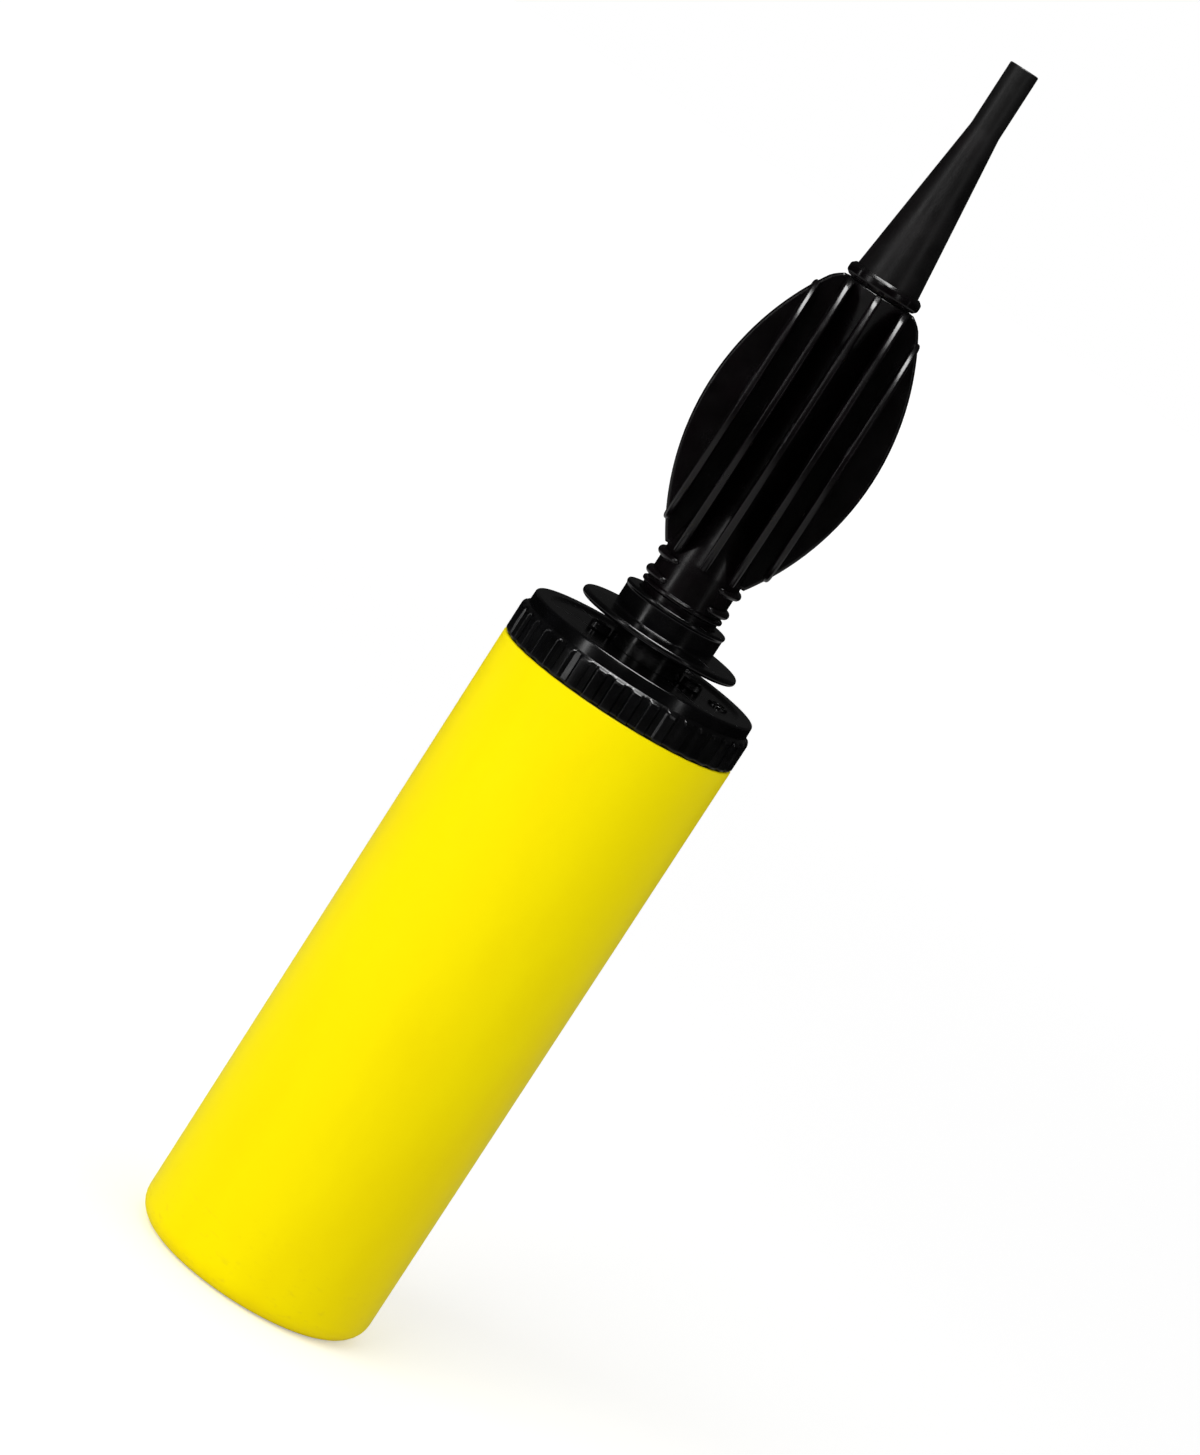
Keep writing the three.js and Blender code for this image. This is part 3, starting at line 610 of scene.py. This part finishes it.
def plunger_head():
    low, high = low_of("plunger_head"), top_of("plunger_head")
    rim = radius_of("plunger_head")
    path = rounded([
        (HEAD_BORE, low, 0.2),
        (rim, low, 0.85),
        (rim, low + 1.5, 0.7),
        (COLLAR_RADIUS, low + 1.9, 0.35),
        (COLLAR_RADIUS, high - 1.1, 0.6),
        (COLLAR_RADIUS + COLLAR_LIP, high - 0.55, 0.3),
        (COLLAR_RADIUS + 0.15, high, 0.3),
        (HEAD_SOCKET, high, 0.3),
        (HEAD_SOCKET, low + 3.1, 0),
        (HEAD_BORE, low + 3.1, 0),
    ], steps=7)
    head = turned("stop_flange", path)
    lines = []
    for side in (1, -1):
        reach = sorted((side * (COLLAR_RADIUS + 0.35), side * (rim + 1)))
        heights = [low + rise for rise in PARTING_HEIGHTS]
        lines.append(block("parting_line", reach, (-PARTING_HALF_WIDTH, PARTING_HALF_WIDTH), heights))
    combine(head, lines, "DIFFERENCE")
    place(head, "plunger", "plunger_head", "cap_black")


# ---- grip -------------------------------------------------------------------------------

GRIP_LOW = 167.5
GRIP_TOP = 229.5
GRIP_MIDDLE = 198.4  # the height of the lens's widest place
GRIP_ARC = 54.9  # the radius of the lens's sides
FIN_PLACES = (-11.3, -6.1, 0, 6.1, 11.3)
FIN_THICKNESS = 1.6
FIN_EDGE = 0.6
WEB_THICKNESS = 1.9
WEB_EDGE = 0.75
CORNER_HEIGHT = 2.2  # over which the blades' corners are rounded off at the top
CORNER_DEPTH = 1.1
NECK_RADIUS = 8.35
NECK_LOW = 154.1
LEDGE_DEPTH = 0.6  # of the thin ledge round the neck, just over the collar
CORE_RADIUS = 5.8
CORE_TOP_RADIUS = 7.7
CORE_HEIGHTS = (178, 218)  # between which it is straight
RIDGE_HEIGHTS = (161.6, 165.9)
RIDGE_SPREAD = 57  # degrees to each side of a ridge's middle
RIDGE_CENTRE = 0.15  # outside the neck's wall
RIDGE_REACH = 0.9
RIDGE_RISE = 0.85
RIDGE_STEPS = 40
RIDGE_SIDES = 14
SPIGOT_RADIUS = 6.35
SEAL_GROOVE = (146.8, 149.2)
SEAL_GROOVE_RADIUS = 5.4
AIR_WAY = 4.2
NOZZLE_SOCKET = 4.9
NOZZLE_SOCKET_LOW = 221.7
AIR_WAY_FACETS = 48
GRIP_RADIUS = radius_of("grip")


def grip_radius(height):
    return GRIP_RADIUS - GRIP_ARC + math.sqrt(GRIP_ARC ** 2 - (height - GRIP_MIDDLE) ** 2)


def drawn_in(below_top):
    """How far the blades' corners are rounded off beside the nozzle's ring."""
    left = max(0, 1 - below_top / CORNER_HEIGHT)
    return CORNER_DEPTH * left * left


def blade_outline(offset, depth, steps=44):
    """The (reach, height) outline of a slice through the lens, offset from its axis.
    The lens is first made smaller all round by the depth."""
    thinned = GRIP_ARC - GRIP_RADIUS + abs(offset) + depth
    half_height = math.sqrt(GRIP_ARC ** 2 - thinned ** 2)
    low = max(GRIP_LOW + depth, GRIP_MIDDLE - half_height)
    high = min(GRIP_TOP - depth, GRIP_MIDDLE + half_height)
    side = []
    for step in range(steps + 1):
        height = (low + high) / 2 - (high - low) / 2 * math.cos(math.pi * step / steps)
        radius = grip_radius(height) - depth - drawn_in(GRIP_TOP - height)
        reach = math.sqrt(max(0, radius ** 2 - offset ** 2))
        side.append((max(reach, 0.02), height))
    return side + [(-reach, height) for reach, height in reversed(side)]


def blade(name, offset, thickness, edge, to_space, steps=5):
    """A plate with rounded edges. to_space places a point from across, reach, height."""
    layers = []
    for step in range(steps + 1):
        angle = math.pi / 2 * step / steps
        across = thickness / 2 - edge * (1 - math.sin(angle))
        depth = edge * (1 - math.cos(angle))
        layers += [(across, depth), (-across, depth)]
    layers.sort()
    loops = []
    for across, depth in layers:
        loops.append([to_space(across, *point) for point in blade_outline(offset, depth)])
    return layered(name, loops)


def neck_ridge(height, side):
    """A round bar sunk into one side of the neck, dying away at its two ends."""
    loops = []
    for step in range(RIDGE_STEPS + 1):
        share = 2 * step / RIDGE_STEPS - 1
        angle = math.radians(RIDGE_SPREAD) * share + (0 if side == 1 else math.pi)
        size = max(0.05, (1 - abs(share) ** 12) ** 0.5)
        loop = []
        for turn in range(RIDGE_SIDES):
            round_angle = 2 * math.pi * turn / RIDGE_SIDES
            reach = NECK_RADIUS + RIDGE_CENTRE + RIDGE_REACH * size * math.cos(round_angle)
            rise = RIDGE_RISE * size * math.sin(round_angle)
            loop.append((reach * math.cos(angle), reach * math.sin(angle), height + rise))
        loops.append(loop)
    return layered("neck_ridge", loops)


def grip():
    low = low_of("grip")
    groove_low, groove_high = SEAL_GROOVE
    core_low, core_high = CORE_HEIGHTS
    core = turned("grip_body", rounded([
        (0, low, 0),
        (SPIGOT_RADIUS, low, 0.8),
        (SPIGOT_RADIUS, groove_low, 0.1),
        (SEAL_GROOVE_RADIUS, groove_low, 0.1),
        (SEAL_GROOVE_RADIUS, groove_high, 0.1),
        (SPIGOT_RADIUS, groove_high, 0.1),
        (SPIGOT_RADIUS, NECK_LOW, 0.1),
        (NECK_RADIUS, NECK_LOW, 0.3),
        (NECK_RADIUS, 159.1, 0.1),
        (NECK_RADIUS + LEDGE_DEPTH, 159.4, 0.25),
        (NECK_RADIUS + LEDGE_DEPTH, 160.0, 0.25),
        (NECK_RADIUS, 160.3, 0.1),
        (NECK_RADIUS, GRIP_LOW, 6),
        (7.5, 173, 8),
        (CORE_RADIUS, core_low, 10),
        (CORE_RADIUS, core_high, 12),
        (CORE_TOP_RADIUS, GRIP_TOP, 0.3),
        (0, GRIP_TOP, 0),
    ], closed=False, steps=6), FACETS_SMALL)
    blades = [
        blade("fin", offset, FIN_THICKNESS, FIN_EDGE,
              lambda across, reach, height, offset=offset: (offset + across, reach, height))
        for offset in FIN_PLACES
    ]
    blades.append(blade("web", 0, WEB_THICKNESS, WEB_EDGE,
                        lambda across, reach, height: (reach, across, height)))
    ridges = [neck_ridge(height, side) for height in RIDGE_HEIGHTS for side in (1, -1)]
    combine(core, blades + ridges, "UNION")
    air_way = turned("air_way", [
        (0, low - 1),
        (AIR_WAY, low - 1),
        (AIR_WAY, NOZZLE_SOCKET_LOW),
        (NOZZLE_SOCKET, NOZZLE_SOCKET_LOW),
        (NOZZLE_SOCKET, GRIP_TOP + 1),
        (0, GRIP_TOP + 1),
    ], AIR_WAY_FACETS)
    combine(core, [air_way], "DIFFERENCE")
    place(core, "plunger", "grip", "grip_black")


# ---- nozzle -----------------------------------------------------------------------------

BEAD_BORE = 7.07
BEAD_EDGE = 7.25
BEAD_RADIUS = 7.72
BEAD_SWELL = 0.22  # how much further the bead stands out on its two sides
SWELL_START = 0.68  # the sideways share of a direction where the swell starts
SWELL_FADE = 0.06
SWELL_INNER = 7.3  # points further in than this don't swell
SPOUT_SPIGOT_BORE = 3.4
SPOUT_SPIGOT = 4.6
SPOUT_SPIGOT_TOP = 230.6
CONE_RADIUS = 6.77
TIP_LOW = 266.2
TIP_BORE = 2
NOZZLE_STEP = 4  # along the nozzle's outline


def bead_radius(radius, height, angle):
    """The bead, a little stouter on its two sides than in front and behind."""
    sideways = abs(math.cos(angle))
    share = min(1, max(0, (sideways - SWELL_START) / SWELL_FADE))
    return radius + (BEAD_SWELL * share * (3 - 2 * share) * share if radius > SWELL_INNER else 0)


def nozzle_ring():
    low, high = low_of("nozzle_ring"), top_of("nozzle_ring")
    path = rounded([
        (BEAD_BORE, low, 0),
        (BEAD_EDGE, low, 0.2),
        (BEAD_RADIUS, low + 0.75, 0.9),
        (BEAD_RADIUS, high - 0.75, 0.9),
        (BEAD_EDGE, high, 0.2),
        (BEAD_BORE, high, 0),
    ], steps=7)
    bead = turned("bead", path, FACETS, bead_radius)
    place(bead, "plunger", "nozzle_ring", "grip_black")


def nozzle():
    low, top = low_of("nozzle"), top_of("nozzle")
    path = rounded([
        (SPOUT_SPIGOT_BORE, low, 0.2),
        (SPOUT_SPIGOT, low, 0.5),
        (SPOUT_SPIGOT, SPOUT_SPIGOT_TOP, 0),
        (CONE_RADIUS, SPOUT_SPIGOT_TOP, 0.3),
        (CONE_RADIUS, 232.5, 1.5),
        (3.12, TIP_LOW, 9),
        (3.1, top, 0.3),
        (TIP_BORE, top, 0.25),
        (TIP_BORE, TIP_LOW, 4),
        (5, 234, 2),
        (SPOUT_SPIGOT_BORE, 229.6, 1),
    ], steps=8)
    spout = turned("spout", refined(path, NOZZLE_STEP), FACETS_SMALL)
    place(spout, "plunger", "nozzle", "nozzle_black")


# ---- the CAD nodes that stay ---------------------------------------------------------------

def dress_cad_nodes():
    """Gives each CAD node the material of its slot in the record."""
    slots = {part["node"]: part["material_slot"] for part in frame["record"]["subparts"]}
    for name, node in frame["nodes"].items():
        node.data.materials.clear()
        node.data.materials.append(MATERIALS[slots[name]])


# ---- stage, lights and camera ----------------------------------------------------------------

FLOOR_HALF = 8.0  # metres; its far edge crosses a corner of the view
FLOOR_WHITE = 0.92
SKY_LIGHT = 0.60
SKY_IN_REFLECTIONS = 0.02
LIGHTS_AIM = Vector((0, 0, 0.14))
CAMERA_AIM = Vector((0, 0, 0.130))
CAMERA_AZIMUTH = -1.4
CAMERA_ELEVATION = 8.5
CAMERA_DISTANCE = 0.92
CAMERA_LEAN = 32.85
CAMERA_LENS = 117.3


def floor():
    mesh = bpy.data.meshes.new("floor")
    half = FLOOR_HALF
    corners = [(-half, -half, 0), (half, -half, 0), (half, half, 0), (-half, half, 0)]
    mesh.from_pydata(corners, [], [(0, 1, 2, 3)])
    ground = bpy.data.objects.new("floor", mesh)
    bpy.context.scene.collection.objects.link(ground)
    material = bpy.data.materials.new("floor_white")
    material.use_nodes = True
    shader = material.node_tree.nodes["Principled BSDF"]
    paint_floor(material.node_tree, shader)
    shader.inputs["Roughness"].default_value = 0.9
    shader.inputs["Specular IOR Level"].default_value = 0.1
    mesh.materials.append(material)


def paint_floor(tree, shader):
    """White, and lifted where the camera sees it, so that it meets the backdrop unseen.
    In reflections it is bright only near the pump, which keeps the upright black surfaces
    black and still lights the lower edges of the grip's fins."""
    link = tree.links.new
    rays = tree.nodes.new("ShaderNodeLightPath").outputs
    distance = tree.nodes.new("ShaderNodeVectorMath")
    distance.operation = "LENGTH"
    link(tree.nodes.new("ShaderNodeTexCoord").outputs["Object"], distance.inputs[0])

    def by_distance(near, far, at_near, at_far):
        node = tree.nodes.new("ShaderNodeMapRange")
        amounts = {"From Min": near, "From Max": far, "To Min": at_near, "To Max": at_far}
        for socket, amount in amounts.items():
            node.inputs[socket].default_value = amount
        link(distance.outputs["Value"], node.inputs["Value"])
        return node.outputs["Result"]

    shade = tree.nodes.new("ShaderNodeMix")
    shade.inputs["A"].default_value = FLOOR_WHITE
    link(rays["Is Glossy Ray"], shade.inputs["Factor"])
    link(by_distance(near=0.45, far=0.8, at_near=0.42, at_far=0.005), shade.inputs["B"])
    link(shade.outputs["Result"], shader.inputs["Base Color"])
    lift = tree.nodes.new("ShaderNodeMath")
    lift.operation = "MULTIPLY"
    link(rays["Is Camera Ray"], lift.inputs[0])
    link(by_distance(near=0.4, far=2.0, at_near=0.36, at_far=0.52), lift.inputs[1])
    link(lift.outputs[0], shader.inputs["Emission Strength"])
    shader.inputs["Emission Color"].default_value = (1, 1, 1, 1)


def world():
    """White where the camera sees it, softer as light, and nearly dark in reflections."""
    sky = bpy.data.worlds.new("studio")
    bpy.context.scene.world = sky
    sky.use_nodes = True
    tree = sky.node_tree
    background = tree.nodes["Background"]
    background.inputs["Color"].default_value = (1, 1, 1, 1)
    path = tree.nodes.new("ShaderNodeLightPath")
    source = None
    for ray, strength in (("Is Glossy Ray", SKY_IN_REFLECTIONS), ("Is Camera Ray", 1.0)):
        mix = tree.nodes.new("ShaderNodeMix")
        mix.inputs["A"].default_value = SKY_LIGHT
        mix.inputs["B"].default_value = strength
        if source:
            tree.links.new(source, mix.inputs["A"])
        tree.links.new(path.outputs[ray], mix.inputs["Factor"])
        source = mix.outputs["Result"]
    tree.links.new(source, background.inputs["Strength"])


def direction(azimuth, elevation):
    """The direction away from the pump, in degrees. Azimuth 0 is in front of it."""
    a, e = math.radians(azimuth), math.radians(elevation)
    return Vector((math.sin(a) * math.cos(e), -math.cos(a) * math.cos(e), math.sin(e)))


def softbox(name, azimuth, elevation, distance, size, power, shows_as_highlight=True):
    """An area light that looks at the pump's middle. It gives either highlights or even
    light, so that the two are set apart."""
    data = bpy.data.lights.new(name, "AREA")
    data.shape = "RECTANGLE"
    data.size, data.size_y = size
    data.energy = power
    lamp = bpy.data.objects.new(name, data)
    bpy.context.scene.collection.objects.link(lamp)
    away = direction(azimuth, elevation)
    lamp.location = LIGHTS_AIM + away * distance
    lamp.rotation_euler = (-away).to_track_quat("-Z", "Y").to_euler()
    lamp.visible_glossy = shows_as_highlight
    lamp.visible_diffuse = not shows_as_highlight


def camera():
    """Long lens, a little above the pump, leaning so that the pump leans to the right."""
    data = bpy.data.cameras.new("camera")
    data.sensor_width = 36
    data.lens = CAMERA_LENS
    data.clip_start, data.clip_end = 0.05, 20
    eye = bpy.data.objects.new("camera", data)
    bpy.context.scene.collection.objects.link(eye)
    away = direction(CAMERA_AZIMUTH, CAMERA_ELEVATION)
    turn = (-away).to_track_quat("-Z", "Y").to_matrix().to_4x4()
    roll = Matrix.Rotation(math.radians(CAMERA_LEAN), 4, "Z")
    eye.matrix_world = Matrix.Translation(CAMERA_AIM + away * CAMERA_DISTANCE) @ turn @ roll
    bpy.context.scene.camera = eye


def lights():
    softbox("key", azimuth=-38, elevation=28, distance=1.1, size=(0.9, 0.9), power=6.4,
            shows_as_highlight=False)
    softbox("left_strip", azimuth=-52, elevation=12, distance=0.9, size=(0.08, 0.7), power=0.75)
    softbox("front_strip", azimuth=-16, elevation=28, distance=1.1, size=(0.12, 0.7), power=0.6)
    softbox("right_strip", azimuth=48, elevation=14, distance=1.0, size=(0.06, 0.6), power=0.25)
    softbox("top_panel", azimuth=-20, elevation=78, distance=0.7, size=(0.45, 0.3), power=6.5)


# ---- assembly --------------------------------------------------------------------------------

camera()
world()
lights()
floor()
dress_cad_nodes()
barrel()
cap()
plunger_tube()
plunger_head()
grip()
nozzle_ring()
nozzle()

scene = bpy.context.scene
scene.view_settings.view_transform = "Standard"
scene.view_settings.look = "None"
